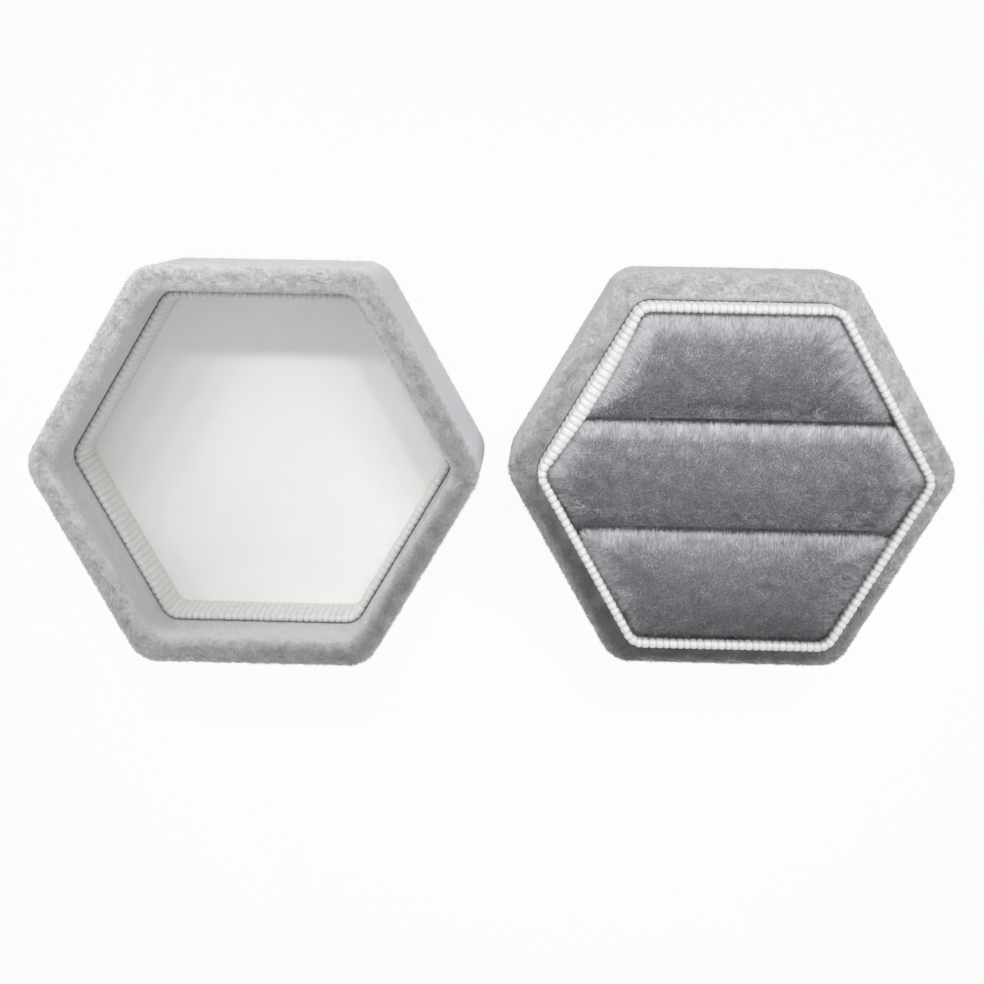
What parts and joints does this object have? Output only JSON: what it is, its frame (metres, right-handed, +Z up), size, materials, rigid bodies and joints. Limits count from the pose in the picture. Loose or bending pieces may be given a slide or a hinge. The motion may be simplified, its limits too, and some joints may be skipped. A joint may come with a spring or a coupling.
{
  "type": "ring box",
  "caption": "Six-sided velvet ring box with a loose lift-off lid, ribbed ribbon collars, a satin ceiling and a slotted velvet ring pad.",
  "frame": {"origin": "on the surface that both halves lie on, midway between the lid and the base", "axes": "+X from the lid to the base, +Y to the rear roll of the ring pad, +Z up out of the base's mouth"},
  "size_m": [0.1206, 0.052, 0.0263],
  "materials": {
    "shell_plastic": "moulded, hidden under the velvet",
    "case_velvet": "pale grey velvet with a short soft pile",
    "pad_velvet": "mid grey velvet with a deeper pile",
    "ribbon": "off-white ribbed ribbon, ribs across the fold",
    "satin": "smooth white satin",
    "card": "uncoated grey board",
    "foam": "open-cell foam and wadding, hidden"
  },
  "bodies": {
    "base": {"base_shell": "shell_plastic", "base_velvet": "case_velvet", "collar_card": "card", "collar_ribbon": "ribbon", "insert_riser": "foam", "insert_card": "card", "roll_foam_rear": "foam", "roll_foam_middle": "foam", "roll_foam_front": "foam", "roll_velvet_rear": "pad_velvet", "roll_velvet_middle": "pad_velvet", "roll_velvet_front": "pad_velvet"},
    "lid": {"lid_shell": "shell_plastic", "lid_velvet": "case_velvet", "lid_collar_card": "card", "lid_collar_ribbon": "ribbon", "lid_pad_card": "card", "lid_pad_wadding": "foam", "lid_pad_satin": "satin"}
  },
  "joints": [
    {"name": "lid_turn_over", "type": "hinge", "parent": "base", "child": "lid", "pos_m": [0, 0, 0.02305], "axis": [0, 1, 0], "range_deg": [0, 180]}
  ]
}
